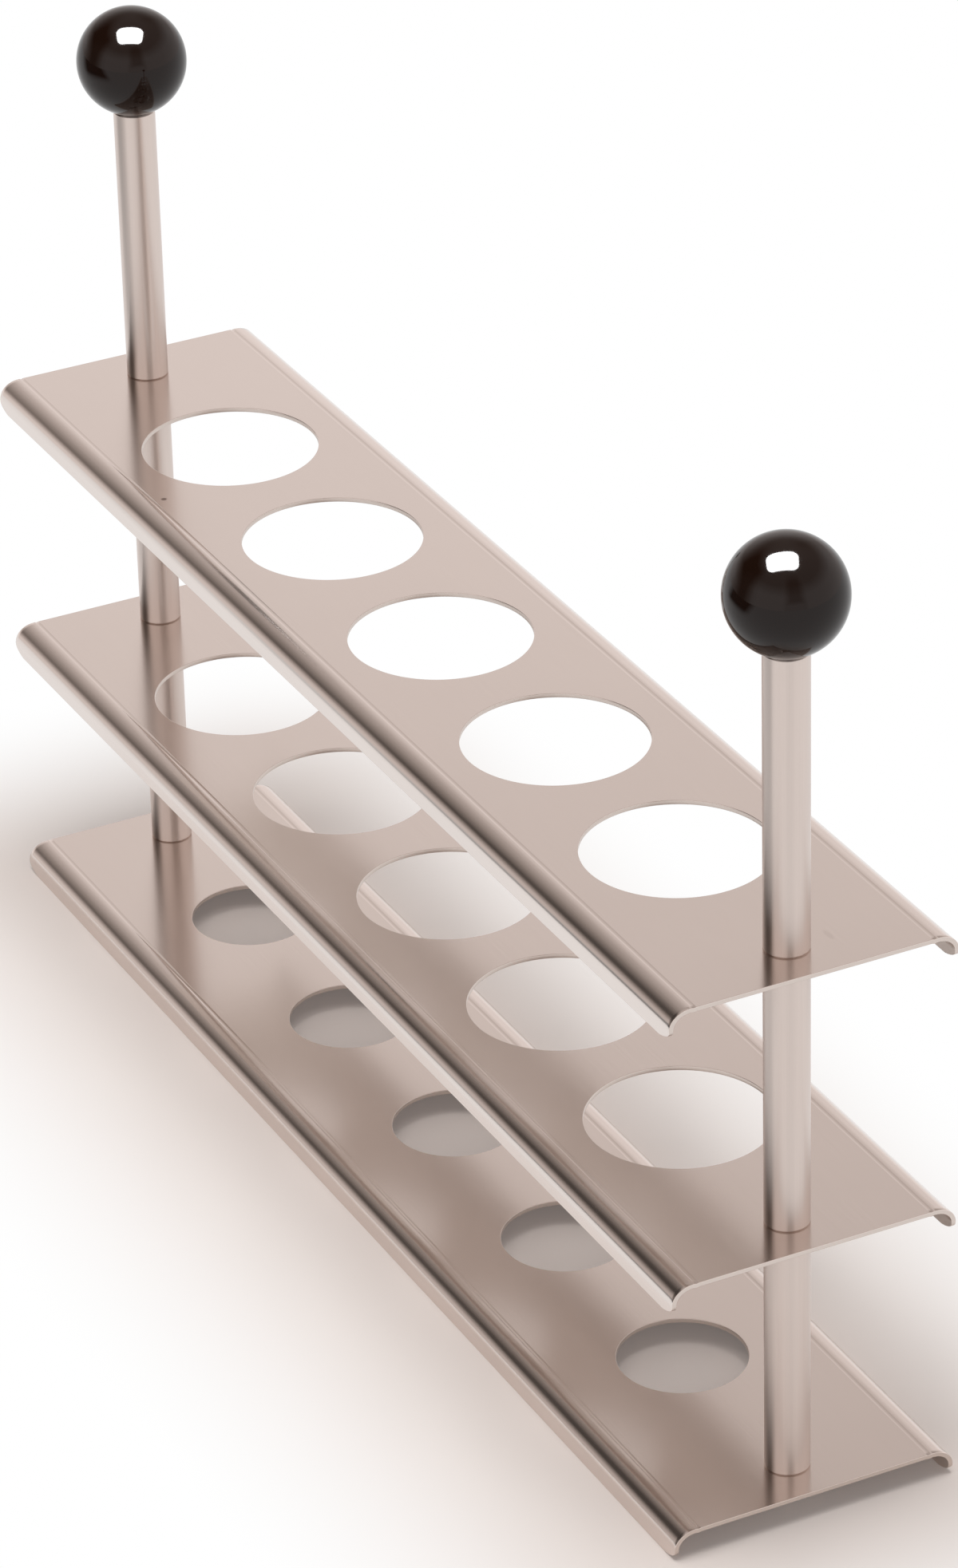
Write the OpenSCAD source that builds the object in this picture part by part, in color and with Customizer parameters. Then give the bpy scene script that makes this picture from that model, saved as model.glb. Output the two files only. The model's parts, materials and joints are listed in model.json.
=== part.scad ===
// Three-tier test tube rack of folded stainless sheet.
// The rack stands on the folded edges of its bottom shelf, on the plane z = 0.
// X runs along the row of tubes, Y across it and Z up, all in millimetres.

/* [Tube places] */
// Number of tubes in the row
tube_count = 5; // [3:1:6]
// Distance between the centres of neighbouring tubes
tube_pitch = 53; // [50:0.5:60]
// Diameter of the guide holes in the top and middle shelves
guide_hole_d = 40; // [34:0.5:44]
// Diameter of the smaller holes in the bottom shelf, in which the tube ends sit
seat_hole_d = 28; // [20:0.5:34]

/* [Shelves] */
// Overall width of a shelf over its two folded edges
shelf_width = 65; // [58:0.5:80]
// Thickness of the sheet
sheet_t = 1; // [0.8:0.1:1.5]
// Inner radius of the folded edges
bend_inner_r = 3; // [1.5:0.1:3.5]
// Radius that breaks the lower corners at the ends of the folded edges
lip_corner_r = 2.5; // [1:0.1:2.5]
// Flat of the shelf between the rim of the end hole and the side of the post
post_gap = 20.25; // [12:0.25:30]
// Distance from the centre of a post to the end of the shelf
end_margin = 11.5; // [9:0.5:20]
// Clear height from the bottom shelf to the underside of the middle shelf
lower_gap = 58; // [40:0.5:90]
// Clear height from the middle shelf to the underside of the top shelf
upper_gap = 62.5; // [40:0.5:90]

/* [Posts] */
// Outer diameter of the post tubes
post_d = 9.5; // [9:0.1:12]
// Length of the handle tube above the top shelf
handle_len = 66; // [40:0.5:100]
// Chamfer on the outer edge of each tube end
tube_chamfer = 0.3; // [0.1:0.05:0.5]
// Diameter of the tie rod that clamps each post
rod_d = 6; // [5:0.1:6.2]
// Gap between the tie rod and what it passes through, on the diameter
rod_clearance = 0.5; // [0.2:0.1:0.8]
// Gap between the crests of the rod and a tapped thread, on the diameter
thread_clearance = 0.1; // [0.05:0.01:0.2]
// Length of the rod that stands out below its nut
rod_proud = 0.2; // [0.1:0.1:1]
// Gap between the lower end of the rod and the table
foot_clearance = 0.5; // [0.3:0.1:2]

/* [Fasteners] */
// Outer diameter of the washer under the bottom shelf
washer_d = 12; // [11:0.5:16]
// Thickness of the washer
washer_t = 1.6; // [1:0.1:2]
// Width of the thin nut across its flats
nut_flats = 10; // [9:0.5:13]
// Height of the thin nut
nut_h = 3.2; // [2.5:0.1:5]

/* [Knobs] */
// Diameter of the ball knob
knob_d = 25; // [20:0.5:32]
// Diameter of the flat on which the knob sits
knob_base_d = 8.4; // [8.2:0.1:9]
// Outer diameter of the brass insert moulded into the knob
insert_d = 7.8; // [7.6:0.1:8]
// Length of the brass insert
insert_len = 13; // [10:0.5:15]
// Depth of the tapped hole in the insert
insert_bore_depth = 11; // [8:0.5:12.5]
// Length of the rod that is screwed into the insert
rod_grip = 9.5; // [6:0.5:10]
// Gap between the insert and the moulding round it, on the diameter
moulding_gap = 0.04; // [0.02:0.01:0.1]

/* [Hidden] */

$fn = 96;
// How far a cutting shape reaches past the face it cuts
cut_over = 1;
steel = [0.80, 0.74, 0.70];
plated_steel = [0.72, 0.71, 0.69];
black_plastic = [0.06, 0.05, 0.05];
brass = [0.80, 0.64, 0.34];

bend_outer_r = bend_inner_r + sheet_t;
// The folded edge is as deep as the nut and rod end that it hides
edge_depth = sheet_t + washer_t + nut_h + rod_proud + foot_clearance;

first_tube_x = -(tube_count - 1) * tube_pitch / 2;
post_x = -first_tube_x + guide_hole_d / 2 + post_gap + post_d / 2;
shelf_length = 2 * (post_x + end_margin);
left_x = -post_x;
right_x = post_x;

// Heights of the top face of each shelf, and of the top of the handle tubes
bottom_level = edge_depth;
middle_level = bottom_level + lower_gap + sheet_t;
top_level = middle_level + upper_gap + sheet_t;
handle_top = top_level + handle_len;

rod_hole_d = rod_d + rod_clearance;
thread_d = rod_d + thread_clearance;
washer_z = bottom_level - sheet_t - washer_t;
nut_z = washer_z - nut_h;
rod_bottom = nut_z - rod_proud;
rod_top = handle_top + rod_grip;
rod_chamfer = rod_d / 10;

// Height of the centre of the ball above the flat on which it sits
knob_rise = sqrt(pow(knob_d / 2, 2) - pow(knob_base_d / 2, 2));

// One folded edge in section: a quarter bend and the lip below it
module edge_section() {
    translate([shelf_width / 2 - bend_outer_r, -bend_outer_r])
        intersection() {
            difference() {
                circle(r = bend_outer_r);
                circle(r = bend_inner_r);
            }
            square(bend_outer_r);
        }
    translate([shelf_width / 2 - sheet_t, -edge_depth])
        square([sheet_t, edge_depth - bend_outer_r]);
}

// The whole folded sheet in section, with its top face on y = 0
module shelf_section() {
    flat_w = shelf_width - 2 * bend_outer_r;
    translate([-flat_w / 2, -sheet_t])
        square([flat_w, sheet_t]);
    for (side = [0, 1])
        mirror([side, 0])
            edge_section();
}

// What is cut away to round the lower corners at both ends of the lips
module lip_corner_cut() {
    for (end = [0, 1])
        mirror([end, 0, 0])
            translate([shelf_length / 2 - lip_corner_r, 0, lip_corner_r - edge_depth])
                rotate([90, 0, 0])
                    linear_extrude(height = shelf_width + 2 * cut_over, center = true)
                        difference() {
                            translate([0, -lip_corner_r - cut_over])
                                square(lip_corner_r + cut_over);
                            circle(r = lip_corner_r);
                        }
}

// A punched and folded shelf, with tube holes of the given diameter
module shelf(level, hole_d) {
    color(steel)
        translate([0, 0, level])
            difference() {
                rotate([90, 0, 90])
                    linear_extrude(height = shelf_length, center = true)
                        shelf_section();
                lip_corner_cut();
                for (i = [0 : tube_count - 1])
                    translate([first_tube_x + i * tube_pitch, 0, -sheet_t - cut_over])
                        cylinder(d = hole_d, h = sheet_t + 2 * cut_over);
                for (x = [left_x, right_x])
                    translate([x, 0, -sheet_t - cut_over])
                        cylinder(d = rod_hole_d, h = sheet_t + 2 * cut_over);
            }
}

// A length of post tube with chamfered ends, standing on the height z
module post_tube(x, z, length) {
    bore_r = rod_hole_d / 2;
    outer_r = post_d / 2;
    color(steel)
        translate([x, 0, z])
            rotate_extrude()
                polygon([
                    [bore_r, 0],
                    [outer_r - tube_chamfer, 0],
                    [outer_r, tube_chamfer],
                    [outer_r, length - tube_chamfer],
                    [outer_r - tube_chamfer, length],
                    [bore_r, length]
                ]);
}

module lower_spacer(x) {
    post_tube(x, bottom_level, lower_gap);
}

module middle_spacer(x) {
    post_tube(x, middle_level, upper_gap);
}

module handle_tube(x) {
    post_tube(x, top_level, handle_len);
}

// The rod that clamps the shelves and tubes between the knob and the nut
module tie_rod(x) {
    length = rod_top - rod_bottom;
    r = rod_d / 2;
    color(plated_steel)
        translate([x, 0, rod_bottom])
            rotate_extrude()
                polygon([
                    [0, 0],
                    [r - rod_chamfer, 0],
                    [r, rod_chamfer],
                    [r, length - rod_chamfer],
                    [r - rod_chamfer, length],
                    [0, length]
                ]);
}

module washer(x) {
    color(plated_steel)
        translate([x, 0, washer_z])
            difference() {
                cylinder(d = washer_d, h = washer_t);
                translate([0, 0, -cut_over])
                    cylinder(d = rod_hole_d, h = washer_t + 2 * cut_over);
            }
}

// A thin hexagon nut with its corners turned off at both faces
module nut(x) {
    corner_r = nut_flats / sqrt(3);
    flat_r = nut_flats / 2;
    turned = (corner_r - flat_r) * tan(30);
    color(plated_steel)
        translate([x, 0, nut_z])
            difference() {
                intersection() {
                    cylinder(r = corner_r, h = nut_h, $fn = 6);
                    rotate_extrude()
                        polygon([
                            [0, 0],
                            [flat_r, 0],
                            [corner_r, turned],
                            [corner_r, nut_h - turned],
                            [flat_r, nut_h],
                            [0, nut_h]
                        ]);
                }
                translate([0, 0, -cut_over])
                    cylinder(d = thread_d, h = nut_h + 2 * cut_over);
            }
}

// A ball with a small flat base, bored for its insert
module knob(x) {
    pocket_r = (insert_d + moulding_gap) / 2;
    color(black_plastic)
        translate([x, 0, handle_top + knob_rise])
            rotate_extrude()
                difference() {
                    intersection() {
                        circle(d = knob_d);
                        translate([0, -knob_rise])
                            square([knob_d / 2, knob_rise + knob_d / 2]);
                    }
                    translate([-cut_over, -knob_rise - cut_over])
                        square([pocket_r + cut_over, insert_len + cut_over]);
                }
}

// The brass insert, tapped from below for the tie rod
module knob_insert(x) {
    color(brass)
        translate([x, 0, handle_top])
            difference() {
                cylinder(d = insert_d, h = insert_len);
                translate([0, 0, -cut_over])
                    cylinder(d = thread_d, h = insert_bore_depth + cut_over);
            }
}

shelf(top_level, guide_hole_d);  // top_shelf
shelf(middle_level, guide_hole_d);  // middle_shelf
shelf(bottom_level, seat_hole_d);  // bottom_shelf
lower_spacer(left_x);  // left_lower_spacer
lower_spacer(right_x);  // right_lower_spacer
middle_spacer(left_x);  // left_middle_spacer
middle_spacer(right_x);  // right_middle_spacer
handle_tube(left_x);  // left_handle_tube
handle_tube(right_x);  // right_handle_tube
tie_rod(left_x);  // left_tie_rod
tie_rod(right_x);  // right_tie_rod
washer(left_x);  // left_washer
washer(right_x);  // right_washer
nut(left_x);  // left_nut
nut(right_x);  // right_nut
knob(left_x);  // left_knob
knob(right_x);  // right_knob
knob_insert(left_x);  // left_knob_insert
knob_insert(right_x);  // right_knob_insert
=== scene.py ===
"""Looks of a three-tier test tube rack of folded stainless sheet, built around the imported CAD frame."""

import json
import logging
import math
from dataclasses import dataclass, field
from enum import Enum
from typing import ClassVar, Iterable

import bmesh
import bpy
from mathutils import Matrix, Vector


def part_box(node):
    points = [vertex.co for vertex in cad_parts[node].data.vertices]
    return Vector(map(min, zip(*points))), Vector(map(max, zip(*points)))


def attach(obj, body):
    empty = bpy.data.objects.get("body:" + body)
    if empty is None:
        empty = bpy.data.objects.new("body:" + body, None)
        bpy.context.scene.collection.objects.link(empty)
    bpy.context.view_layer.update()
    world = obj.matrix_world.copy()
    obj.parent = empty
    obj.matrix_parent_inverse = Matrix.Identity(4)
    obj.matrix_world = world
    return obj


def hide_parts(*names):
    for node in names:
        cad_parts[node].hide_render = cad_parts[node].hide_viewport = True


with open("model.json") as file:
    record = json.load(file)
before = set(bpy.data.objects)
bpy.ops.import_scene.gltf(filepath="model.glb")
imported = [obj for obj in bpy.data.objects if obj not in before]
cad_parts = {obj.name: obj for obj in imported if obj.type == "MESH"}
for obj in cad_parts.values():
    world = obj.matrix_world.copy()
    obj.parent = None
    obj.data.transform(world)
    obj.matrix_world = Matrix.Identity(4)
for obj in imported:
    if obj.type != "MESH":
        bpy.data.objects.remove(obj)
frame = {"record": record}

log = logging.getLogger("test_tube_rack")

Triple = tuple[float, float, float]
Outline = list[tuple[float, float]]

MM = 0.001
BODY = "root"
PHOTO_WIDTH_PX = 1200
PHOTO_HEIGHT_PX = 1965
PHOTO_AZIMUTH_DEG = 63.757
SENSOR_MM = 36.0
UP = (0.0, 0.0, 1.0)
WHITE = (1.0, 1.0, 1.0)

# Points nearer to each other than this are one point.
MERGE_WITHIN = 1e-7

# The face attribute that is 1 where the sheet isn't brushed.
RAW = "raw"

# A noise pattern runs from 0 to 1 about this value.
NOISE_MIDDLE = 0.5

# The tie rods' clearance holes, and the threads that they screw into.
ROD_HOLE_RADIUS = 3.25 * MM
TAPPED_RADIUS = 3.05 * MM


class Lay(Enum):
    """Which way the fine lines of a metal finish run: how fine they stay along each axis."""

    ALONG_SHELF = (0.012, 1.0, 1.0)
    ALONG_POST = (1.0, 1.0, 0.012)
    ROUND = (1.0, 1.0, 1.0)


class Wire:
    """An output socket that can be used in a Python expression; each operation adds its Math node."""

    def __init__(self, board: "Board", socket: bpy.types.NodeSocket) -> None:
        """Keeps the board and the socket."""
        self.board = board
        self.socket = socket

    def _math(self, operation: str, first: "Wire | float", second: "Wire | float") -> "Wire":
        """Adds one Math node.

        Args:
            operation: name of the Math node's operation.
            first: value or wire of the upper input.
            second: value or wire of the lower input.

        Returns:
            The node's output.
        """
        return self.board.make("ShaderNodeMath", {"operation": operation}, {0: first, 1: second})

    def __add__(self, other: "Wire | float") -> "Wire":
        """Sum of two values."""
        return self._math("ADD", self, other)

    __radd__ = __add__

    def __sub__(self, other: "Wire | float") -> "Wire":
        """This value less the other."""
        return self._math("SUBTRACT", self, other)

    def __rsub__(self, other: "Wire | float") -> "Wire":
        """The other value less this one."""
        return self._math("SUBTRACT", other, self)

    def __mul__(self, other: "Wire | float") -> "Wire":
        """Product of two values."""
        return self._math("MULTIPLY", self, other)

    __rmul__ = __mul__

    def above(self, other: "Wire | float") -> "Wire":
        """The greater of two values."""
        return self._math("MAXIMUM", self, other)

    def ramp(self, start: float, end: float, low: float, high: float, blend: str = "LINEAR") -> "Wire":
        """Maps a stretch of this value to a stretch of another, held level beyond both ends.

        Args:
            start: this value where the stretch starts.
            end: this value where it ends.
            low: the result at the start.
            high: the result at the end.
            blend: LINEAR, or SMOOTHSTEP for soft ends.

        Returns:
            The mapped value.
        """
        return self.board.make("ShaderNodeMapRange", {"interpolation_type": blend}, {
            "Value": self, "From Min": start, "From Max": end, "To Min": low, "To Max": high})


class Board:
    """A node tree that is being wired."""

    def __init__(self, tree: bpy.types.NodeTree) -> None:
        """Empties the tree and keeps it."""
        self.tree = tree
        tree.nodes.clear()

    def make(self, kind: str, settings: dict | None = None, sockets: dict | None = None,
             out: int | str = 0) -> Wire:
        """Adds one node.

        Args:
            kind: the node's type name.
            settings: properties that are set first, such as an operation.
            sockets: values or wires of the inputs, by name or number.
            out: which output to return.

        Returns:
            The chosen output as a Wire.
        """
        node = self.tree.nodes.new(kind)
        for name, value in (settings or {}).items():
            setattr(node, name, value)
        for name, value in (sockets or {}).items():
            if isinstance(value, Wire):
                self.tree.links.new(value.socket, node.inputs[name])
            else:
                node.inputs[name].default_value = value
        return Wire(self, node.outputs[out] if len(node.outputs) else None)

    def place(self) -> Wire:
        """Where the shaded point is on the object, in metres."""
        return self.make("ShaderNodeTexCoord", out="Object")

    def mix(self, share: Wire, first: Wire | tuple, second: Wire | tuple, blend: str = "MIX") -> Wire:
        """Mixes two colours.

        Args:
            share: how much of the second one there is.
            first: the colour at a share of 0.
            second: the colour that is laid over it.
            blend: MIX, or MULTIPLY to darken the first by the second.

        Returns:
            The mixed colour.
        """
        return self.make("ShaderNodeMix", {"data_type": "RGBA", "blend_type": blend}, {
            0: share, 6: first, 7: second}, out=2)

    def vector(self, operation: str, first: Wire, second: Wire | Triple = (0.0, 0.0, 0.0),
               out: str = "Vector") -> Wire:
        """Adds one Vector Math node.

        Args:
            operation: name of the node's operation.
            first: the upper vector.
            second: the lower vector, where the operation takes one.
            out: Vector, or Value for a length or a dot product.

        Returns:
            The node's output.
        """
        return self.make("ShaderNodeVectorMath", {"operation": operation}, {0: first, 1: second}, out=out)

    def noise(self, place: Wire, per_m: float, detail: float, grit: float = 0.5) -> Wire:
        """Adds a noise pattern.

        Args:
            place: the point, stretched if the pattern has a direction.
            per_m: number of grains to the metre.
            detail: number of finer layers.
            grit: how strong each finer layer is beside the one before.

        Returns:
            The pattern's value, from 0 to 1.
        """
        return self.make("ShaderNodeTexNoise", {}, {
            "Vector": place, "Scale": per_m, "Detail": detail, "Roughness": grit})

    def bump(self, height: Wire, depth: float) -> Wire:
        """The normal of a surface that a pattern raises, at its brightest by the given depth in metres."""
        return self.make("ShaderNodeBump", {}, {"Height": height, "Strength": 1.0, "Distance": depth})

    def surface(self, shader: Wire) -> None:
        """Leads a shader to the material's output."""
        self.make("ShaderNodeOutputMaterial", {}, {"Surface": shader})


def rgba(colour: Triple) -> tuple[float, float, float, float]:
    """The colour with full alpha."""
    return (*colour, 1.0)


def new_paint(name: str) -> tuple[bpy.types.Material, Board]:
    """Makes a material whose nodes are still to be wired.

    Args:
        name: the material's name.

    Returns:
        The material and the board of its nodes.
    """
    made = bpy.data.materials.new(name)
    made.use_nodes = True
    return made, Board(made.node_tree)


@dataclass(frozen=True)
class Mark:
    """A small mark in a finish, such as a speck or a smear, full at its core and gone at its reach."""

    place: Triple
    reach: Triple
    strength: float
    core_share: float = 0.45


@dataclass(frozen=True)
class MetalFinish:
    """Fine-lined metal, with faint cloudy patches where it was handled and wiped."""

    name: str
    lay: Lay
    dark: Triple
    light: Triple
    roughness: float = 0.18
    lines_per_m: float = 5200.0
    line_detail: float = 3.0
    line_grit: float = 0.6
    line_tone: float = 0.55
    line_roughness: float = 0.06
    line_depth: float = 1.2e-6
    clouds_per_m: float = 26.0
    cloud_detail: float = 2.0
    cloud_tone: float = 0.45
    cloud_roughness: float = 0.05
    anisotropy: float = 0.0
    anisotropy_turn: float = 0.0
    marks: tuple[Mark, ...] = ()
    mark_colour: Triple = (0.16, 0.12, 0.10)

    # What is laid over the faces that aren't brushed, and how much rougher they are.
    raw_tone: Triple = WHITE
    raw_roughness: float = 0.0

    def _marked(self, board: Board, place: Wire, colour: Wire) -> Wire:
        """Lays the marks over the metal's colour.

        Args:
            board: the node tree.
            place: where the shaded point is on the object.
            colour: the clean metal's colour.

        Returns:
            The colour with its marks.
        """
        for mark in self.marks:
            local = board.make("ShaderNodeMapping", {"vector_type": "TEXTURE"}, {
                "Vector": place, "Location": mark.place, "Scale": mark.reach})
            away = board.vector("LENGTH", local, out="Value")
            share = away.ramp(mark.core_share, 1.0, mark.strength, 0.0, "SMOOTHSTEP")
            colour = board.mix(share, colour, rgba(self.mark_colour))
        return colour

    def material(self) -> bpy.types.Material:
        """Makes the material.

        Returns:
            The finished material.
        """
        made, board = new_paint(self.name)
        place = board.place()
        stretched = board.make("ShaderNodeMapping", {}, {"Vector": place, "Scale": self.lay.value})
        lines = board.noise(stretched, self.lines_per_m, self.line_detail, self.line_grit)
        clouds = board.noise(place, self.clouds_per_m, self.cloud_detail)
        tone = lines * self.line_tone + clouds * self.cloud_tone
        colour = board.mix(tone, rgba(self.dark), rgba(self.light))
        rough = ((lines - NOISE_MIDDLE) * self.line_roughness
                 + (clouds - NOISE_MIDDLE) * self.cloud_roughness + self.roughness)
        if self.raw_roughness:
            raw = board.make("ShaderNodeAttribute", {"attribute_name": RAW}, out="Fac")
            rough = rough + raw * self.raw_roughness
            colour = board.mix(raw, colour, rgba(self.raw_tone), "MULTIPLY")
        board.surface(board.make("ShaderNodeBsdfPrincipled", {}, {
            "Base Color": self._marked(board, place, colour), "Metallic": 1.0, "Roughness": rough,
            "Anisotropic": self.anisotropy, "Anisotropic Rotation": self.anisotropy_turn,
            "Normal": board.bump(lines, self.line_depth)}))
        return made


@dataclass(frozen=True)
class GlossFinish:
    """Moulded black plastic, polished to a high gloss, with faint smears and a very faint wave."""

    name: str
    colour: Triple
    refraction: float = 1.35
    roughness: float = 0.05
    smears_per_m: float = 255.0
    smear_detail: float = 3.0
    smear_roughness: float = 0.03
    waves_per_m: float = 150.0
    wave_detail: float = 1.0
    wave_depth: float = 0.5e-6

    def material(self) -> bpy.types.Material:
        """Makes the material.

        Returns:
            The finished material.
        """
        made, board = new_paint(self.name)
        place = board.place()
        waves = board.noise(place, self.waves_per_m, self.wave_detail)
        smears = board.noise(place, self.smears_per_m, self.smear_detail)
        board.surface(board.make("ShaderNodeBsdfPrincipled", {}, {
            "Base Color": rgba(self.colour), "Roughness": smears * self.smear_roughness + self.roughness,
            "IOR": self.refraction, "Normal": board.bump(waves, self.wave_depth)}))
        return made


SPECK = Mark(place=(-0.0890, -0.0243, 0.129), reach=(0.85 * MM, 0.85 * MM, 0.5 * MM), strength=0.8)
SMEAR = Mark(place=(0.1509, 0.0095, 0.129), reach=(2.6 * MM, 0.8 * MM, 0.5 * MM), strength=0.09)
FINISHES = (
    MetalFinish("shelf_steel", Lay.ALONG_SHELF, (0.675, 0.605, 0.568), (0.785, 0.71, 0.67),
                marks=(SPECK, SMEAR), raw_tone=(0.90, 0.88, 0.86), raw_roughness=0.24),
    MetalFinish("post_steel", Lay.ALONG_POST, (0.63, 0.545, 0.503), (0.74, 0.65, 0.603),
                roughness=0.32, lines_per_m=2600.0, anisotropy=0.95, anisotropy_turn=0.25),
    MetalFinish("fastener_steel", Lay.ROUND, (0.50, 0.48, 0.45), (0.66, 0.63, 0.60),
                roughness=0.32, lines_per_m=1400.0),
    MetalFinish("insert_brass", Lay.ROUND, (0.62, 0.45, 0.18), (0.80, 0.62, 0.30),
                roughness=0.26, lines_per_m=1400.0),
    GlossFinish("knob_plastic", (0.011, 0.004, 0.002)),
)


def put_in_scene(name: str, data: bpy.types.ID) -> bpy.types.Object:
    """Makes an object at the origin and links it to the scene.

    Args:
        name: the object's name.
        data: its mesh, lamp or camera.

    Returns:
        The new object.
    """
    made = bpy.data.objects.new(name, data)
    bpy.context.scene.collection.objects.link(made)
    return made


def meshed(name: str, shape: bmesh.types.BMesh, paint: bpy.types.Material) -> bpy.types.Object:
    """Turns a bmesh, in metres in the shared frame, into an object.

    Args:
        name: the object's name.
        shape: its mesh, which is freed.
        paint: its material.

    Returns:
        The new object.
    """
    mesh = bpy.data.meshes.new(name)
    shape.to_mesh(mesh)
    shape.free()
    mesh.materials.append(paint)
    return put_in_scene(name, mesh)


def only(kind: type, items: Iterable) -> list:
    """Picks the verts, edges or faces out of a bmesh operator's result."""
    return [item for item in items if isinstance(item, kind)]


def once(items: Iterable) -> list:
    """Each item once, in the order in which it first comes, so that every run is alike."""
    return list(dict.fromkeys(items))


def turned(profile: Outline, axis_x: float, steps: int) -> bmesh.types.BMesh:
    """Spins a profile round a vertical axis.

    Args:
        profile: radius and height of each corner, in order.
        axis_x: where the axis stands along the rack.
        steps: number of faces round the axis.

    Returns:
        The closed turned shape.
    """
    made = bmesh.new()
    corners = [made.verts.new((axis_x + radius, 0.0, height)) for radius, height in profile]
    edges = [made.edges.new(pair) for pair in zip(corners, corners[1:])]
    bmesh.ops.spin(made, geom=corners + edges, cent=(axis_x, 0.0, 0.0), axis=UP, dvec=(0.0, 0.0, 0.0),
                   angle=math.tau, steps=steps, use_merge=True)
    bmesh.ops.remove_doubles(made, verts=made.verts[:], dist=MERGE_WITHIN)
    bmesh.ops.recalc_face_normals(made, faces=made.faces[:])
    return made


def arc(centre: tuple[float, float], radius: float, start_deg: float, end_deg: float, steps: int) -> Outline:
    """Points along an arc.

    Args:
        centre: its centre.
        radius: its radius.
        start_deg: direction of the first point, in degrees from the first axis.
        end_deg: direction of the last point.
        steps: number of stretches.

    Returns:
        The points, both ends included.
    """
    turns = [math.radians(start_deg + (end_deg - start_deg) * i / steps) for i in range(steps + 1)]
    return [(centre[0] + radius * math.cos(t), centre[1] + radius * math.sin(t)) for t in turns]


@dataclass
class Piece:
    """A finer piece that stands for one CAD node and keeps its outer sizes."""

    ending: ClassVar[str] = "_turned"
    slot: ClassVar[str] = "fastener_steel"
    sharp_deg: ClassVar[float] = 25.0

    node: str
    low: Vector = field(init=False)
    high: Vector = field(init=False)

    def __post_init__(self) -> None:
        """Takes the outer sizes from the CAD node."""
        self.low, self.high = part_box(self.node)

    @property
    def axis_x(self) -> float:
        """Where the middle of the piece stands along the rack."""
        return (self.low.x + self.high.x) / 2

    @property
    def outer(self) -> float:
        """Half of the piece's width along the rack, which is a round piece's radius."""
        return (self.high.x - self.low.x) / 2

    def mesh(self) -> bmesh.types.BMesh:
        """Builds the closed shape; each kind of piece has its own way."""
        raise NotImplementedError

    def shade(self, made: bmesh.types.BMesh) -> None:
        """Shades curved faces smooth, and keeps a crisp line where two faces meet at an angle.

        Args:
            made: the finished shape.
        """
        for face in made.faces:
            face.smooth = True
        for edge in made.edges:
            edge.smooth = len(edge.link_faces) == 2 and edge.calc_face_angle() < math.radians(self.sharp_deg)

    def build(self, material: bpy.types.Material) -> bpy.types.Object:
        """Builds the piece, dresses it, and lets it stand for its node.

        Args:
            material: its finish.

        Returns:
            The finished piece, which rides on the rack.
        """
        made = self.mesh()
        self.shade(made)
        piece = meshed(self.node + self.ending, made, material)
        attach(piece, BODY)
        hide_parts(self.node)
        log.info("%s: %d faces", piece.name, len(piece.data.polygons))
        return piece


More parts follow.
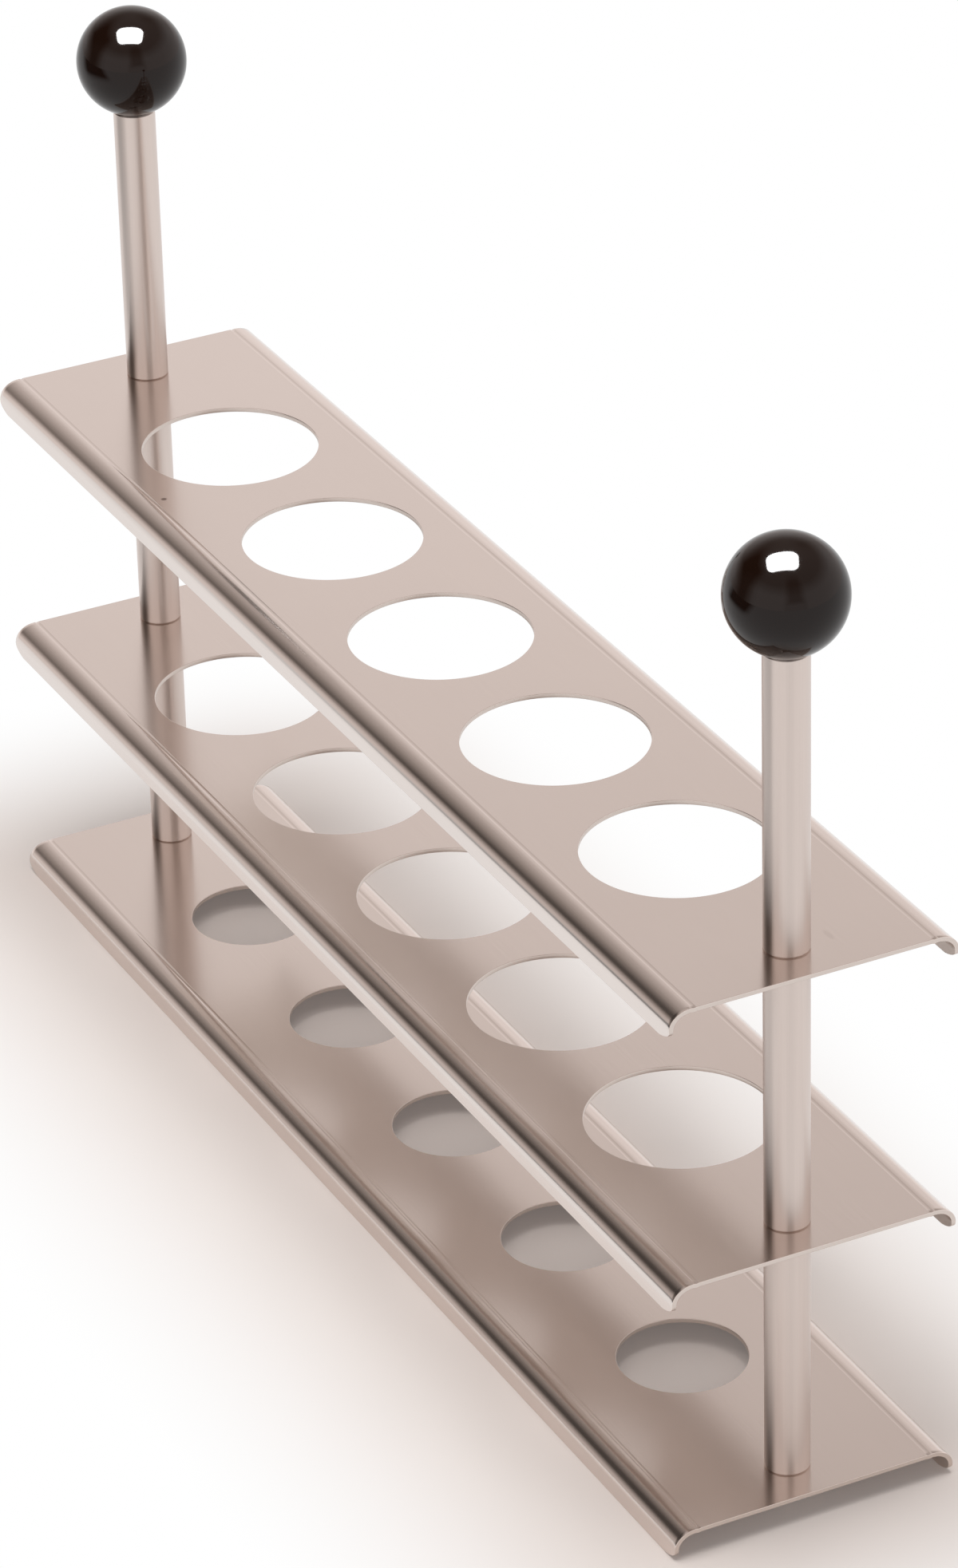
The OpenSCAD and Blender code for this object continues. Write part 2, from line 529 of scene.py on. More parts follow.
@dataclass
class FoldedShelf(Piece):
    """A punched sheet whose two long edges are folded down."""

    ending: ClassVar[str] = "_sheet"
    slot: ClassVar[str] = "shelf_steel"

    # The flat round a hole has four sides, counted from this corner, each a quarter turn long.
    first_corner_deg: ClassVar[float] = -135.0
    quarter_deg: ClassVar[float] = 90.0

    # The least share of a face's normal that makes it level, flat, a cut end, or turned away.
    level_from: ClassVar[float] = 0.97
    flat_from: ClassVar[float] = 0.99999
    end_from: ClassVar[float] = 0.9
    away_from: ClassVar[float] = 0.3

    hole_radius: float
    hole_places: list[float]
    post_places: list[float]
    sheet: float = 1.0 * MM
    bend_width: float = 4.8 * MM
    bend_depth: float = 4.0 * MM
    lip_corner: float = 2.5 * MM
    lip_corner_stretch: float = 2.4
    crease_inset: float = 5.6 * MM
    crease_half_width: float = 0.5 * MM
    crease_depth: float = 0.13 * MM
    edge_break: float = 0.13 * MM
    edge_break_from_deg: float = 60.0
    edge_break_steps: int = 2
    cell_side_steps: int = 30
    bend_steps: int = 24
    lip_steps: int = 8

    @property
    def flat_half(self) -> float:
        """Half of the width between the two creases."""
        return self.high.y - self.crease_inset - self.crease_half_width

    @property
    def bend_start(self) -> float:
        """Distance from the middle line to where the sheet starts to bend."""
        return self.high.y - self.bend_width

    def _section(self) -> Outline:
        """Half of the outer section, from the crease to the lower edge of the lip.

        Returns:
            Distance from the middle line, and height, of each corner after the first.
        """
        edge, top = self.high.y, self.high.z
        crease = edge - self.crease_inset
        tangent, lip_top = self.bend_start, top - self.bend_depth
        corners = [(crease, top - self.crease_depth), (crease + self.crease_half_width, top), (tangent, top)]
        bend = [(tangent + out * self.bend_width, lip_top + up * self.bend_depth)
                for out, up in arc((0.0, 0.0), 1.0, 90.0, 0.0, self.bend_steps)]
        lip = [(edge, lip_top + (self.low.z - lip_top) * i / self.lip_steps)
               for i in range(1, self.lip_steps + 1)]
        return corners + bend[1:] + lip

    def _cell(self, made: bmesh.types.BMesh, centre: float, radius: float, start: float,
              end: float) -> None:
        """Makes the flat of one stretch of the shelf round its hole.

        Args:
            made: the mesh to add to.
            centre: place of the hole along the shelf.
            radius: radius of the hole.
            start: where the stretch starts along the shelf.
            end: where it ends.
        """
        side, half = self.cell_side_steps, self.flat_half
        turn = Matrix.Rotation(math.radians(self.first_corner_deg), 4, "Z")
        place = Matrix.Translation((centre, 0.0, self.high.z)) @ turn
        rim = bmesh.ops.create_circle(made, cap_ends=False, radius=radius, segments=4 * side,
                                      matrix=place)["verts"]
        edges = once(edge for vert in rim for edge in vert.link_edges)
        grown = bmesh.ops.extrude_edge_only(made, edges=edges)["geom"]
        for vert in only(bmesh.types.BMVert, grown):
            angle = math.degrees(math.atan2(vert.co.y, vert.co.x - centre))
            step = round((angle - self.first_corner_deg) / self.quarter_deg * side) % (4 * side)
            which, along = divmod(step, side)
            share = along / side
            vert.co.xy = (
                (start + (end - start) * share, -half),
                (end, -half + 2 * half * share),
                (end + (start - end) * share, half),
                (start, half - 2 * half * share),
            )[which]

    def _squeeze_end(self, x: float, z: float) -> float:
        """Moves a point of the lip inwards, to round the lower corners at the ends.

        Args:
            x: its place along the shelf.
            z: its height.

        Returns:
            Its new place along the shelf.
        """
        start_z = self.low.z + self.lip_corner
        if z >= start_z - MERGE_WITHIN:
            return x
        drop = min((start_z - z) / self.lip_corner, 1.0)
        end = self.high.x - self.lip_corner * (1.0 - math.sqrt(1.0 - drop * drop))
        stretch = self.high.x - self.lip_corner_stretch * self.lip_corner
        if abs(x) <= stretch:
            return x
        share = (abs(x) - stretch) / (self.high.x - stretch)
        return math.copysign(stretch + share * (end - stretch), x)

    def _fold_side(self, made: bmesh.types.BMesh, side: float) -> None:
        """Folds one long edge down, row by row along the section.

        Args:
            made: the mesh to add to.
            side: 1 for the far edge and -1 for the near edge.
        """
        start = side * self.flat_half
        row = [edge for edge in made.edges
               if edge.is_boundary and all(abs(vert.co.y - start) < MERGE_WITHIN for vert in edge.verts)]
        for out, height in self._section():
            grown = bmesh.ops.extrude_edge_only(made, edges=row)["geom"]
            for vert in only(bmesh.types.BMVert, grown):
                vert.co = (self._squeeze_end(vert.co.x, height), side * out, height)
            row = only(bmesh.types.BMEdge, grown)

    def mesh(self) -> bmesh.types.BMesh:
        """Builds the sheet.

        Returns:
            The closed sheet with its edges broken.
        """
        made = bmesh.new()
        half_pitch = (self.hole_places[1] - self.hole_places[0]) / 2
        for place in self.hole_places:
            self._cell(made, place, self.hole_radius, place - half_pitch, place + half_pitch)
        inner = self.hole_places[-1] + half_pitch
        for place in self.post_places:
            ends = sorted((math.copysign(inner, place), math.copysign(self.high.x, place)))
            self._cell(made, place, ROD_HOLE_RADIUS, *ends)
        bmesh.ops.remove_doubles(made, verts=made.verts[:], dist=MERGE_WITHIN)
        for side in (-1.0, 1.0):
            self._fold_side(made, side)
        bmesh.ops.recalc_face_normals(made, faces=made.faces[:])
        if sum(face.normal.z * face.calc_area() for face in made.faces) < 0:
            bmesh.ops.reverse_faces(made, faces=made.faces[:])
        bmesh.ops.solidify(made, geom=made.faces[:], thickness=self.sheet)
        bmesh.ops.recalc_face_normals(made, faces=made.faces[:])
        crisp_from = math.radians(self.edge_break_from_deg)
        crisp = [edge for edge in made.edges
                 if len(edge.link_faces) == 2 and edge.calc_face_angle() > crisp_from]
        bmesh.ops.bevel(made, geom=crisp, offset=self.edge_break, offset_type="OFFSET",
                        segments=self.edge_break_steps, profile=0.5, affect="EDGES", clamp_overlap=True,
                        material=-1)
        return made

    def shade(self, made: bmesh.types.BMesh) -> None:
        """Shades the bends and broken edges smooth, and tells the faces that aren't brushed.

        Those are the cut edges, and the side that was inside the fold.

        Args:
            made: the finished sheet.
        """
        raw = made.faces.layers.float.new(RAW)
        for face in made.faces:
            across, out = face.calc_center_median().y, face.normal
            on_flat = abs(across) < self.bend_start
            level = abs(out.z) > self.level_from and on_flat
            face.smooth = not level and max(abs(part) for part in out) < self.flat_from
            inwards = -out.y * math.copysign(1.0, across)
            inside = out.z < -self.away_from or (not on_flat and inwards > self.away_from)
            cut = abs(out.z) < self.away_from and (on_flat or abs(out.x) > self.end_from)
            face[raw] = float(inside or cut)


@dataclass
class TurnedPiece(Piece):
    """A piece that is one profile, spun round the post's axis."""

    steps: ClassVar[int] = 96

    def profile(self) -> Outline:
        """Radius and height of each corner, in order; each kind of piece has its own."""
        raise NotImplementedError

    def mesh(self) -> bmesh.types.BMesh:
        """Spins the profile."""
        return turned(self.profile(), self.axis_x, self.steps)


@dataclass
class PostTube(TurnedPiece):
    """A length of tube between two shelves, or above the top one."""

    slot: ClassVar[str] = "post_steel"
    steps: ClassVar[int] = 144

    chamfer: float = 0.3 * MM

    def profile(self) -> Outline:
        """The tube's wall, with its outer edges broken."""
        outer, bottom, top = self.outer, self.low.z, self.high.z
        cut, bore = self.chamfer, ROD_HOLE_RADIUS
        return [(bore, bottom), (outer - cut, bottom), (outer, bottom + cut), (outer, top - cut),
                (outer - cut, top), (bore, top), (bore, bottom)]


@dataclass
class BallKnob(TurnedPiece):
    """A moulded ball with a small flat base, bored for its insert."""

    ending: ClassVar[str] = "_ball"
    slot: ClassVar[str] = "knob_plastic"
    steps: ClassVar[int] = 144

    insert_node: str
    arc_steps: int = 72
    base_break: float = 0.12 * MM
    base_break_deg: float = 0.6
    pocket_gap: float = 0.02 * MM

    def profile(self) -> Outline:
        """The pocket for the insert, the base and the ball.

        Returns:
            Radius and height of each corner, from the inside out.
        """
        insert_low, insert_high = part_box(self.insert_node)
        radius, base, top = self.outer, self.low.z, self.high.z
        centre_z = top - radius
        pocket = (insert_high.x - insert_low.x) / 2 + self.pocket_gap
        pocket_top = insert_high.z + self.pocket_gap
        base_deg = math.degrees(math.asin((base - centre_z) / radius))
        ball = arc((0.0, centre_z), radius, base_deg + self.base_break_deg, 90.0, self.arc_steps)
        base_radius = math.sqrt(radius ** 2 - (centre_z - base) ** 2)
        start = [(0.0, pocket_top), (pocket, pocket_top), (pocket, base)]
        return start + [(base_radius - self.base_break, base)] + ball[:-1] + [(0.0, top)]


@dataclass
class Washer(TurnedPiece):
    """A flat round washer with its edges broken."""

    edge_break: float = 0.15 * MM

    def profile(self) -> Outline:
        """The washer's section, from the foot of its bore round and back."""
        outer, bottom, top = self.outer, self.low.z, self.high.z
        cut, bore = self.edge_break, ROD_HOLE_RADIUS
        return [(bore, bottom + cut), (bore + cut, bottom), (outer - cut, bottom), (outer, bottom + cut),
                (outer, top - cut), (outer - cut, top), (bore + cut, top), (bore, top - cut),
                (bore, bottom + cut)]


@dataclass
class KnobInsert(TurnedPiece):
    """A turned brass insert with two grooves that key it into the moulding, and a blind tapped hole."""

    slot: ClassVar[str] = "insert_brass"

    bore_depth: float = 11.0 * MM
    groove_shares: tuple[float, ...] = (1 / 3, 2 / 3)
    groove_depth: float = 0.45 * MM
    groove_width: float = 1.4 * MM
    edge_break: float = 0.25 * MM

    def profile(self) -> Outline:
        """The hole, then the grooved outside.

        Returns:
            Radius and height of each corner, from the hole's bottom to the insert's top.
        """
        outer, bottom, top = self.outer, self.low.z, self.high.z
        cut, bore, half = self.edge_break, TAPPED_RADIUS, self.groove_width / 2
        hole_top, floor = bottom + self.bore_depth, outer - self.groove_depth
        hole = [(0.0, hole_top), (bore, hole_top), (bore, bottom + cut), (bore + cut, bottom)]
        outside = [(outer - cut, bottom), (outer, bottom + cut)]
        for share in self.groove_shares:
            middle = bottom + (top - bottom) * share
            outside += [(outer, middle - half), (floor, middle - half + self.groove_depth),
                        (floor, middle + half - self.groove_depth), (outer, middle + half)]
        return hole + outside + [(outer, top - cut), (outer - cut, top), (0.0, top)]


@dataclass
class HexNut(Piece):
    """A thin hexagon nut, turned at both faces and countersunk at both ends of its thread."""

    ending: ClassVar[str] = "_cut"
    steps: ClassVar[int] = 96
    sides: ClassVar[int] = 6

    # A cut this near to a point goes through it.
    cut_within: ClassVar[float] = 1e-8

    countersink: float = 0.3 * MM
    corner_round: float = 0.06 * MM
    face_share: float = 0.96
    turned_slope_deg: float = 30.0

    def mesh(self) -> bmesh.types.BMesh:
        """Turns the blank at the origin, cuts its flats, and moves it to its rod.

        Returns:
            The closed nut.
        """
        bottom, top = self.low.z, self.high.z
        corner, flat = self.outer - self.corner_round, (self.high.y - self.low.y) / 2
        face = flat * self.face_share
        turned_off = (corner - face) * math.tan(math.radians(self.turned_slope_deg))
        bore, sink = TAPPED_RADIUS, self.countersink
        made = turned([
            (bore, bottom + sink), (bore + sink, bottom), (face, bottom), (corner, bottom + turned_off),
            (corner, top - turned_off), (face, top), (bore + sink, top), (bore, top - sink),
            (bore, bottom + sink),
        ], 0.0, self.steps)
        for i in range(self.sides):
            turn = math.radians((i + 0.5) * 360.0 / self.sides)
            out = Vector((math.cos(turn), math.sin(turn), 0.0))
            cut = bmesh.ops.bisect_plane(
                made, geom=made.verts[:] + made.edges[:] + made.faces[:], dist=self.cut_within,
                plane_co=out * flat, plane_no=out, clear_outer=True)["geom_cut"]
            bmesh.ops.contextual_create(made, geom=only(bmesh.types.BMEdge, cut))
        bmesh.ops.recalc_face_normals(made, faces=made.faces[:])
        bmesh.ops.translate(made, verts=made.verts[:], vec=(self.axis_x, 0.0, 0.0))
        return made


@dataclass
class TieRod(Piece):
    """A round rod with a rolled thread at each end."""

    ending: ClassVar[str] = "_threaded"
    steps: ClassVar[int] = 48

    # A cut this near to a point goes through it. It is more than the rounding of a height.
    cut_within: ClassVar[float] = 2e-7

    pitch: float = 1.0 * MM
    thread_depth: float = 0.55 * MM
    crest_share: float = 0.14
    root_share: float = 0.22
    lower_turns: int = 14
    upper_turns: int = 16
    run_out: float = 0.6 * MM

    @staticmethod
    def _newer(made: bmesh.types.BMesh, before: set) -> tuple[list, list, list]:
        """The faces that weren't there before, after their verts and edges."""
        faces = [face for face in made.faces if face not in before]
        return (once(vert for face in faces for vert in face.verts),
                once(edge for face in faces for edge in face.edges), faces)

    def _thread(self, made: bmesh.types.BMesh, bottom: float, turns: int) -> tuple[list, list]:
        """Winds one stretch of thread, a turn too long at both ends, and trims it level.

        Args:
            made: the mesh to add to.
            bottom: height of the stretch's lower end.
            turns: its length in turns.

        Returns:
            The edges of its lower rim and those of its upper rim.
        """
        axis_x, crest = self.axis_x, self.outer
        root = crest - self.thread_depth
        slope = (1.0 - self.crest_share - self.root_share) / 2
        tooth = ((root, 0.0), (root, self.root_share), (crest, self.root_share + slope),
                 (crest, self.root_share + slope + self.crest_share))
        points = [(out, bottom + (turn - 1 + share) * self.pitch)
                  for turn in range(turns + 2) for out, share in tooth]
        corners = [made.verts.new((axis_x + out, 0.0, height)) for out, height in points]
        edges = [made.edges.new(pair) for pair in zip(corners, corners[1:])]
        before = set(made.faces)
        bmesh.ops.spin(made, geom=corners + edges, cent=(axis_x, 0.0, 0.0), axis=UP,
                       dvec=(0.0, 0.0, self.pitch / self.steps), angle=math.tau, steps=self.steps,
                       use_merge=False)
        bmesh.ops.remove_doubles(made, verts=self._newer(made, before)[0], dist=MERGE_WITHIN)
        rims = []
        for height, up in ((bottom, -1.0), (bottom + turns * self.pitch, 1.0)):
            verts, lines, faces = self._newer(made, before)
            cut = bmesh.ops.bisect_plane(made, geom=verts + lines + faces, dist=self.cut_within,
                                         plane_co=(axis_x, 0.0, height), plane_no=(0.0, 0.0, up),
                                         clear_outer=True)["geom_cut"]
            rims.append(only(bmesh.types.BMEdge, cut))
        return rims[0], rims[1]

    def _ring(self, made: bmesh.types.BMesh, rim: list, radius: float, height: float) -> list:
        """Grows a rim to a level ring.

        Args:
            made: the mesh.
            rim: the edges to start from.
            radius: radius of the ring.
            height: its height.

        Returns:
            The ring's edges.
        """
        grown = bmesh.ops.extrude_edge_only(made, edges=rim)["geom"]
        for vert in only(bmesh.types.BMVert, grown):
            out = Vector((vert.co.x - self.axis_x, vert.co.y, 0.0)).normalized() * radius
            vert.co = (self.axis_x + out.x, out.y, height)
        return only(bmesh.types.BMEdge, grown)

    def mesh(self) -> bmesh.types.BMesh:
        """Winds both threads, closes their ends, and joins them with the plain shank.

        Returns:
            The closed rod.
        """
        point = self.thread_depth
        made = bmesh.new()
        lower_start = self.low.z + point
        upper_start = self.high.z - point - self.upper_turns * self.pitch
        lower_rims = self._thread(made, lower_start, self.lower_turns)
        upper_rims = self._thread(made, upper_start, self.upper_turns)
        for rim, height in ((lower_rims[0], self.low.z), (upper_rims[1], self.high.z)):
            ring = self._ring(made, rim, self.outer - point, height)
            bmesh.ops.contextual_create(made, geom=ring)
        shank_bottom = lower_start + self.lower_turns * self.pitch + self.run_out
        below = self._ring(made, lower_rims[1], self.outer, shank_bottom)
        above = self._ring(made, upper_rims[0], self.outer, upper_start - self.run_out)
        bmesh.ops.bridge_loops(made, edges=below + above)
        bmesh.ops.recalc_face_normals(made, faces=made.faces[:])
        return made


@dataclass(frozen=True)
class Post:
    """One post of the rack, from the nut under the bottom shelf to the ball knob."""

    side: str

    def place(self) -> float:
        """Where the post stands along the rack."""
        low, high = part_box(self.side + "_tie_rod")
        return (low.x + high.x) / 2

    def pieces(self) -> list[Piece]:
        """The pieces of the post, still to be built."""
        side = self.side
        return [PostTube(f"{side}_lower_spacer"), PostTube(f"{side}_middle_spacer"),
                PostTube(f"{side}_handle_tube"), BallKnob(f"{side}_knob", f"{side}_knob_insert"),
                Washer(f"{side}_washer"), HexNut(f"{side}_nut"), TieRod(f"{side}_tie_rod"),
                KnobInsert(f"{side}_knob_insert")]


@dataclass
class Camera:
    """The camera at the photo's viewing angle."""

    aim: Triple = (0.0172, -0.0003, 0.1011)
    distance: float = 1.4281
    azimuth_deg: float = PHOTO_AZIMUTH_DEG
    elevation_deg: float = 28.914
    roll_deg: float = -1.53
    focal_px: float = 8369.3
    nearest: float = 0.05
    farthest: float = 50.0

    def build(self) -> bpy.types.Object:
        """Places the camera and makes it the scene's own.

        Returns:
            The camera.
        """
        turn, rise = math.radians(self.azimuth_deg), math.radians(self.elevation_deg)
        back = Vector((math.sin(turn) * math.cos(rise), -math.cos(turn) * math.cos(rise), math.sin(rise)))
        right = Vector((math.cos(turn), math.sin(turn), 0.0))
        facing = Matrix((right, back.cross(right), back)).transposed().to_4x4()
        data = bpy.data.cameras.new("camera")
        data.sensor_fit = "AUTO"
        data.sensor_width = SENSOR_MM
        data.lens = self.focal_px / max(PHOTO_WIDTH_PX, PHOTO_HEIGHT_PX) * SENSOR_MM
        data.clip_start, data.clip_end = self.nearest, self.farthest
        made = put_in_scene("camera", data)
        made.matrix_world = (Matrix.Translation(Vector(self.aim) + back * self.distance) @ facing
                             @ Matrix.Rotation(math.radians(self.roll_deg), 4, "Z"))
        bpy.context.scene.camera = made
        return made


# The kinds of ray that pass through what only shows in a gloss.
PASSED_BY_ALL_BUT_GLOSS = ("camera", "diffuse", "transmission", "volume_scatter", "shadow")


def staged(name: str, shape: bmesh.types.BMesh, paint: bpy.types.Material,
           hidden_from: tuple[str, ...] = ()) -> bpy.types.Object:
    """Turns a bmesh into a part of the studio.

    Args:
        name: its name.
        shape: its mesh.
        paint: its material.
        hidden_from: the kinds of ray that pass through it.

    Returns:
        The new object.
    """
    made = meshed(name, shape, paint)
    for ray in hidden_from:
        setattr(made, "visible_" + ray, False)
    return made


@dataclass(frozen=True)
class Softbox:
    """A rectangular lamp that points at the rack, with a cloth that shows bright in the knobs."""

    name: str = "overhead_softbox"
    place: Triple = (0.084, -0.116, 1.297)
    target: Triple = (-0.151, 0.0, 0.2075)
    turn_deg: float = PHOTO_AZIMUTH_DEG
    width: float = 1.00
    height: float = 0.77
    radiance: float = 4.9
    cloth_radiance: float = 55.0
    corner_radius: float = 0.22
    corner_steps: int = 10

    def _facing(self) -> Matrix:
        """Works out how the lamp stands.

        Returns:
            Its place and turn, with its back along its own Z and its width along its own X.
        """
        back = (Vector(self.place) - Vector(self.target)).normalized()
        turn = math.radians(self.turn_deg)
        rise = back.cross(Vector((math.cos(turn), math.sin(turn), 0.0))).normalized()
        facing = Matrix((rise.cross(back), rise, back)).transposed().to_4x4()
        return Matrix.Translation(self.place) @ facing

    def _cloth(self, shown_in: Iterable[bpy.types.Object]) -> bpy.types.Object:
        """Makes the cloth, a thin glow with round corners that only shows in a gloss.

        Args:
            shown_in: the pieces that reflect it.

        Returns:
            The cloth.
        """
        shape = bmesh.new()
        bmesh.ops.create_grid(shape, x_segments=1, y_segments=1, size=0.5,
                              matrix=Matrix.Diagonal((self.width, self.height, 1.0, 1.0)))
        bmesh.ops.bevel(shape, geom=shape.verts[:], offset=self.corner_radius, segments=self.corner_steps,
                        profile=0.5, affect="VERTICES", material=-1)
        bmesh.ops.transform(shape, matrix=self._facing(), verts=shape.verts[:])
        paint, board = new_paint(self.name + "_cloth")
        glow = board.make("ShaderNodeEmission", {}, {"Color": rgba(WHITE), "Strength": self.cloth_radiance})
        clear = board.make("ShaderNodeBsdfTransparent")
        board.surface(board.make("ShaderNodeAddShader", {}, {0: clear, 1: glow}))
        cloth = staged(self.name + "_cloth", shape, paint, PASSED_BY_ALL_BUT_GLOSS)
        mirrors = bpy.data.collections.new(self.name + "_mirrors")
        for piece in shown_in:
            mirrors.objects.link(piece)
        cloth.light_linking.receiver_collection = mirrors
        return cloth

    def build(self, shown_in: Iterable[bpy.types.Object]) -> bpy.types.Object:
        """Places the lamp and its cloth.

        Args:
            shown_in: the pieces that reflect the cloth.

        Returns:
            The lamp.
        """
        data = bpy.data.lights.new(self.name, "AREA")
        data.shape = "RECTANGLE"
        data.size, data.size_y = self.width, self.height
        data.energy = self.radiance * math.pi * self.width * self.height
        made = put_in_scene(self.name, data)
        made.matrix_world = self._facing()
        made.visible_glossy = False
        self._cloth(shown_in)
        return made


@dataclass(frozen=True)
class DarkSide:
    """A stretch of the studio that is darker, seen from the rack."""

    azimuth_deg: float
    core_deg: float
    reach_deg: float
    level: float

    # Keeps a cosine inside what an arc cosine takes.
    cosine_share: ClassVar[float] = 0.99999

    def light_left(self, board: Board, heading: Wire) -> Wire:
        """Works out how much of the light is left near the dark side.

        Args:
            board: the node tree of what is darkened.
            heading: level direction seen from the rack.

        Returns:
            The side's level at its core, rising to 1 at its reach.
        """
        turn = math.radians(self.azimuth_deg)
        near = board.vector("DOT_PRODUCT", heading, (math.cos(turn), math.sin(turn), 0.0), out="Value")
        angle = board.make("ShaderNodeMath", {"operation": "ARCCOSINE"}, {0: near * self.cosine_share})
        return angle.ramp(math.radians(self.core_deg), math.radians(self.reach_deg), self.level, 1.0)


@dataclass(frozen=True)
class Studio:
    """The plain pale floor, the pale surroundings, the walls that gloss reflects, and the lamp."""

    # The floor, which takes the shadow near the rack's foot and is white from a short way out.
    floor_radius: float = 6.0
    floor_colour: Triple = (0.93, 0.83, 0.775)
    floor_least_white: float = 0.08
    rack_half: Triple = (0.16, 0.03, 0.0)
    shadow_reach: float = 0.002
    white_from: float = 0.08
    fill: float = 0.30

    # The walls, in bands by how high they stand above the floor, and dark to some sides.
    wall_radius: float = 5.0
    wall_foot: float = -0.01
    wall_level: float = 1.49
    wall_least: float = 0.055
    dark_tint: Triple = (1.0, 0.84, 0.75)
    light_tint: Triple = (1.0, 0.93, 0.905)
    wall_top_deg: float = 24.0
    ceiling_deg: float = 42.0
    ceiling_share: float = 0.50
    zenith_deg: float = 48.0
    zenith_end_deg: float = 64.0
    zenith_level: float = 0.62
    horizon_deg: float = 9.0
    horizon_end_deg: float = 27.0
    dark_sides: tuple[DarkSide, ...] = (
        DarkSide(azimuth_deg=214.0, core_deg=4.0, reach_deg=66.0, level=0.06),
        DarkSide(azimuth_deg=125.0, core_deg=2.0, reach_deg=58.0, level=0.48),
        DarkSide(azimuth_deg=236.0, core_deg=16.0, reach_deg=34.0, level=0.25),
        DarkSide(azimuth_deg=348.0, core_deg=8.0, reach_deg=22.0, level=0.50),
        DarkSide(azimuth_deg=340.0, core_deg=90.0, reach_deg=125.0, level=0.80),
    )
    dark_horizon: DarkSide = DarkSide(azimuth_deg=250.0, core_deg=10.0, reach_deg=42.0, level=0.15)

    # Where a gloss sees the floor end and darker ground begin.
    dark_table: DarkSide = DarkSide(azimuth_deg=247.0, core_deg=20.0, reach_deg=34.0, level=0.08)
    table_edge: float = 0.33
    table_edge_end: float = 0.75
    round_steps: int = 96

    @staticmethod
    def _seen(board: Board) -> Wire:
        """1 for what the camera, a gloss or a glass sees, and 0 for what only lights the rack."""
        rays = ("Is Camera Ray", "Is Glossy Ray", "Is Transmission Ray")
        camera, gloss, glass = [board.make("ShaderNodeLightPath", out=ray) for ray in rays]
        return camera.above(gloss).above(glass)

    def floor(self) -> bpy.types.Object:
        """Makes the floor, which keeps the rack's soft shadow and turns white further out.

        Returns:
            The floor.
        """
        shape = bmesh.new()
        bmesh.ops.create_circle(shape, cap_ends=True, radius=self.floor_radius, segments=self.round_steps)
        paint, board = new_paint("floor_paint")
        place = board.place()
        past = board.vector("SUBTRACT", board.vector("ABSOLUTE", place), self.rack_half)
        away = board.vector("LENGTH", board.vector("MAXIMUM", past), out="Value")
        share = away.ramp(self.shadow_reach, self.white_from, self.floor_least_white, 1.0, "SMOOTHSTEP")
        heading = board.vector("NORMALIZE", place)
        past_edge = away.ramp(self.table_edge, self.table_edge_end, 0.0, 1.0, "SMOOTHSTEP")
        missing = past_edge * (1.0 - self.dark_table.light_left(board, heading))
        gloss = board.make("ShaderNodeLightPath", out="Is Glossy Ray")
        matt = board.make("ShaderNodeBsdfDiffuse", {}, {"Color": rgba(self.floor_colour)})
        white = board.make("ShaderNodeEmission", {}, {
            "Color": rgba(WHITE), "Strength": 1.0 - missing * gloss})
        seen = share * self._seen(board)
        board.surface(board.make("ShaderNodeMixShader", {}, {0: seen, 1: matt, 2: white}))
        return staged("floor", shape, paint)

    def surroundings(self) -> None:
        """Makes the world white where it is seen, and a soft even fill elsewhere."""
        world = bpy.data.worlds.new("surroundings")
        world.use_nodes = True
        board = Board(world.node_tree)
        strength = self._seen(board) * (1.0 - self.fill) + self.fill
        glow = board.make("ShaderNodeBackground", {}, {"Color": rgba(WHITE), "Strength": strength})
        board.make("ShaderNodeOutputWorld", {}, {"Surface": glow})
        bpy.context.scene.world = world

    def _wall_light(self, board: Board) -> Wire:
        """Works out how bright the walls are in each direction.

        Args:
            board: the node tree of the walls' paint.

        Returns:
            The brightness.
        """
        place = board.place()
        height = board.make("ShaderNodeSeparateXYZ", {}, {0: place}, out="Z")
        rise = board.make("ShaderNodeMath", {"operation": "ARCSINE"}, {0: height * (1.0 / self.wall_radius)})
        level = rise.ramp(math.radians(self.wall_top_deg), math.radians(self.ceiling_deg),
                          self.wall_level, self.wall_level * self.ceiling_share)
        heading = board.vector("NORMALIZE", board.vector("MULTIPLY", place, (1.0, 1.0, 0.0)))
        for side in self.dark_sides:
            level = level * side.light_left(board, heading)
        high = rise.ramp(math.radians(self.zenith_deg), math.radians(self.zenith_end_deg), 0.0, 1.0)
        level = level * (1.0 - high) + high * self.zenith_level
        horizon = rise.ramp(math.radians(self.horizon_deg), math.radians(self.horizon_end_deg), 1.0, 0.0)
        return level.above(horizon * self.dark_horizon.light_left(board, heading)).above(self.wall_least)

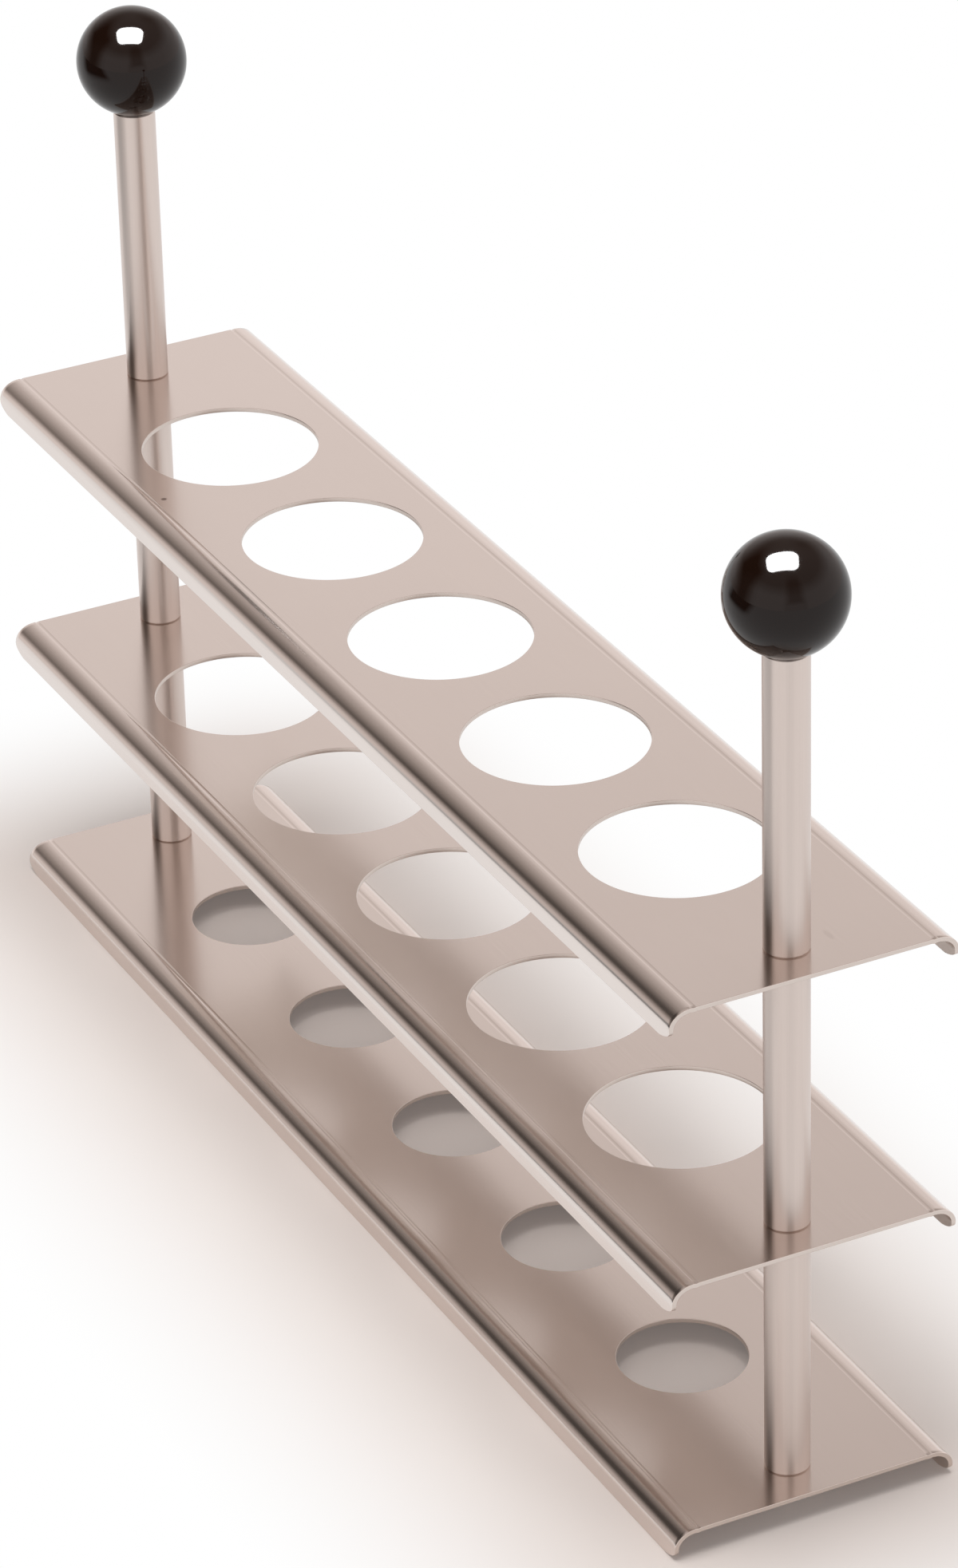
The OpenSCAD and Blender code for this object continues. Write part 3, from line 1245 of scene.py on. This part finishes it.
    def walls(self) -> bpy.types.Object:
        """Makes the studio's walls, bright on the camera's side, which only show in gloss.

        Returns:
            The walls, a dome round the rack.
        """
        shape = bmesh.new()
        bmesh.ops.create_uvsphere(shape, u_segments=self.round_steps, v_segments=self.round_steps // 2,
                                  radius=self.wall_radius)
        bmesh.ops.bisect_plane(shape, geom=shape.verts[:] + shape.edges[:] + shape.faces[:],
                               plane_co=(0.0, 0.0, self.wall_foot), plane_no=UP, clear_inner=True)
        bmesh.ops.reverse_faces(shape, faces=shape.faces[:])
        paint, board = new_paint("wall_paint")
        light = self._wall_light(board)
        tint = board.mix(light, rgba(self.dark_tint), rgba(self.light_tint))
        board.surface(board.make("ShaderNodeEmission", {}, {"Color": tint, "Strength": light}))
        return staged("studio_walls", shape, paint, PASSED_BY_ALL_BUT_GLOSS)

    def build(self, knobs: Iterable[bpy.types.Object]) -> None:
        """Builds the whole studio.

        Args:
            knobs: the glossy pieces in which the lamp shows.
        """
        self.floor()
        self.surroundings()
        self.walls()
        Softbox().build(knobs)


def bores(prefix: str) -> tuple[float, list[float]]:
    """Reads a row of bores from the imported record.

    Args:
        prefix: how the names of the mounts start.

    Returns:
        The radius, and the places along the shelf in order, in metres.
    """
    found = [mount for mount in frame["record"]["mounts"] if mount["name"].startswith(prefix)]
    return found[0]["dims"]["r_mm"] * MM, sorted(mount["pos_m"][0] for mount in found)


def main() -> None:
    """Builds and dresses the rack, and sets it in the studio."""
    logging.basicConfig(level=logging.INFO, format="%(name)s: %(message)s")
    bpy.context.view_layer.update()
    bpy.context.scene.view_settings.view_transform = "Standard"
    Camera().build()

    finishes = {finish.name: finish.material() for finish in FINISHES}
    posts = (Post("left"), Post("right"))
    post_places = [post.place() for post in posts]
    guides, seats = bores("tube_guide"), bores("tube_seat")
    pieces: list[Piece] = [FoldedShelf(node, *holes, post_places) for node, holes in (
        ("top_shelf", guides), ("middle_shelf", guides), ("bottom_shelf", seats))]
    for post in posts:
        pieces += post.pieces()
    built = [piece.build(finishes[piece.slot]) for piece in pieces]
    knobs = [made for piece, made in zip(pieces, built) if isinstance(piece, BallKnob)]
    Studio().build(knobs)


if __name__ == "__main__":
    main()
